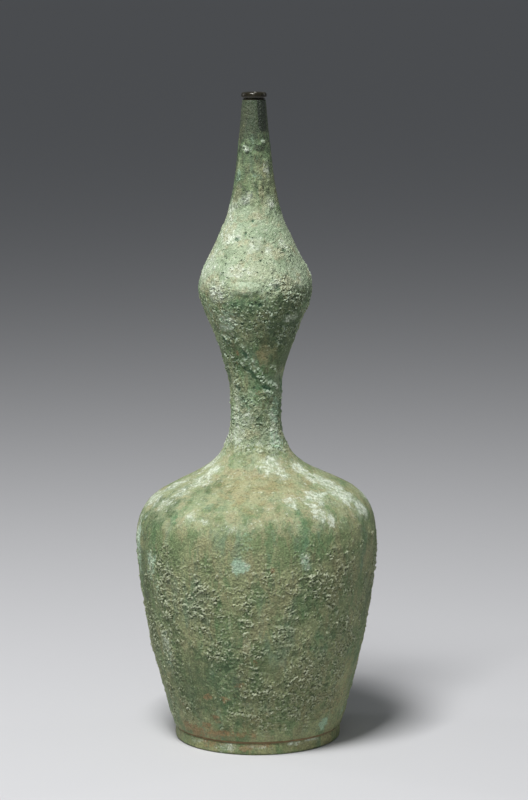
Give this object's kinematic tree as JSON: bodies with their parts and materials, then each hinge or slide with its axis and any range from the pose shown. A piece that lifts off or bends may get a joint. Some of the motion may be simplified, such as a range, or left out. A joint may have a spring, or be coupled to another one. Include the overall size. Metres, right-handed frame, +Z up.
{
  "type": "bronze gourd bottle",
  "caption": "Tall hollow bronze bottle with a rounded belly, a narrow waist, a bulb and a long tapered neck, standing on a low foot ring; it holds and pours liquid.",
  "frame": {"origin": "on the bottle's axis, in the plane that its foot ring stands on", "axes": "+Z up along the bottle's axis towards its mouth; the pictured side faces -Y"},
  "size_m": [0.137, 0.137, 0.37],
  "materials": {
    "rim_bronze": "dark, smooth and slightly glossy bronze",
    "pale_patina": "bronze under a pale mint and olive corrosion crust",
    "green_patina": "bronze under an olive green, flaky corrosion crust",
    "foot_patina": "bronze with a thin green-brown patina",
    "solder": "dull grey tin solder"
  },
  "bodies": {
    "root": {"mouth_rim": "rim_bronze", "rim_solder": "solder", "upper_gourd": "pale_patina", "waist_solder": "solder", "lower_gourd": "green_patina", "foot_solder": "solder", "foot_ring": "foot_patina", "base_plate": "foot_patina", "base_solder": "solder"}
  },
  "joints": []
}
